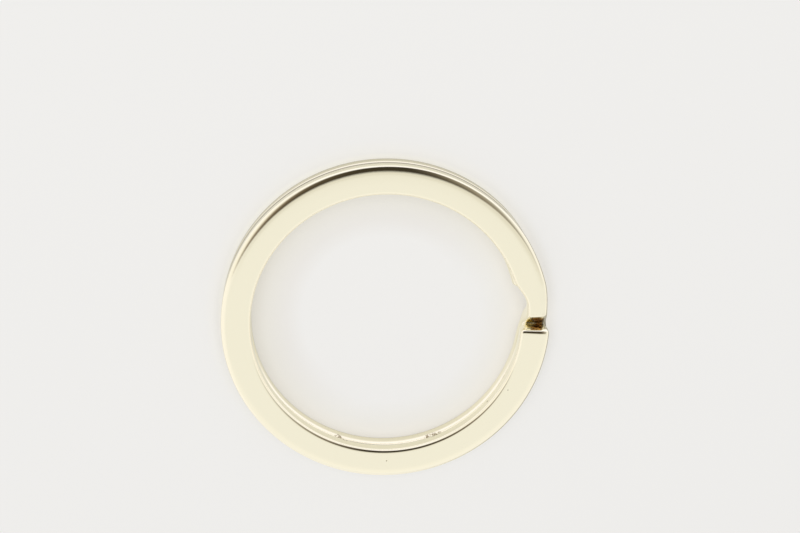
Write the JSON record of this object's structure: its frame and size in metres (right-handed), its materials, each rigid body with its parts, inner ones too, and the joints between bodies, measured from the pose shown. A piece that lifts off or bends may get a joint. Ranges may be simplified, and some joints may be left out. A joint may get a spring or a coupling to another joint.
{
  "type": "split ring",
  "caption": "Flat split ring of springy wire wound into a double turn, for holding keys and tags.",
  "frame": {"origin": "centre of the ring, on the plane that its back turn rests on", "axes": "+Z along the ring's axis, out of the front turn; +X towards the crossing between the two turns"},
  "size_m": [0.03, 0.03, 0.0031],
  "materials": {
    "gold_plate": "polished pale gold plating"
  },
  "bodies": {
    "root": {"split_ring": "gold_plate"}
  },
  "joints": []
}
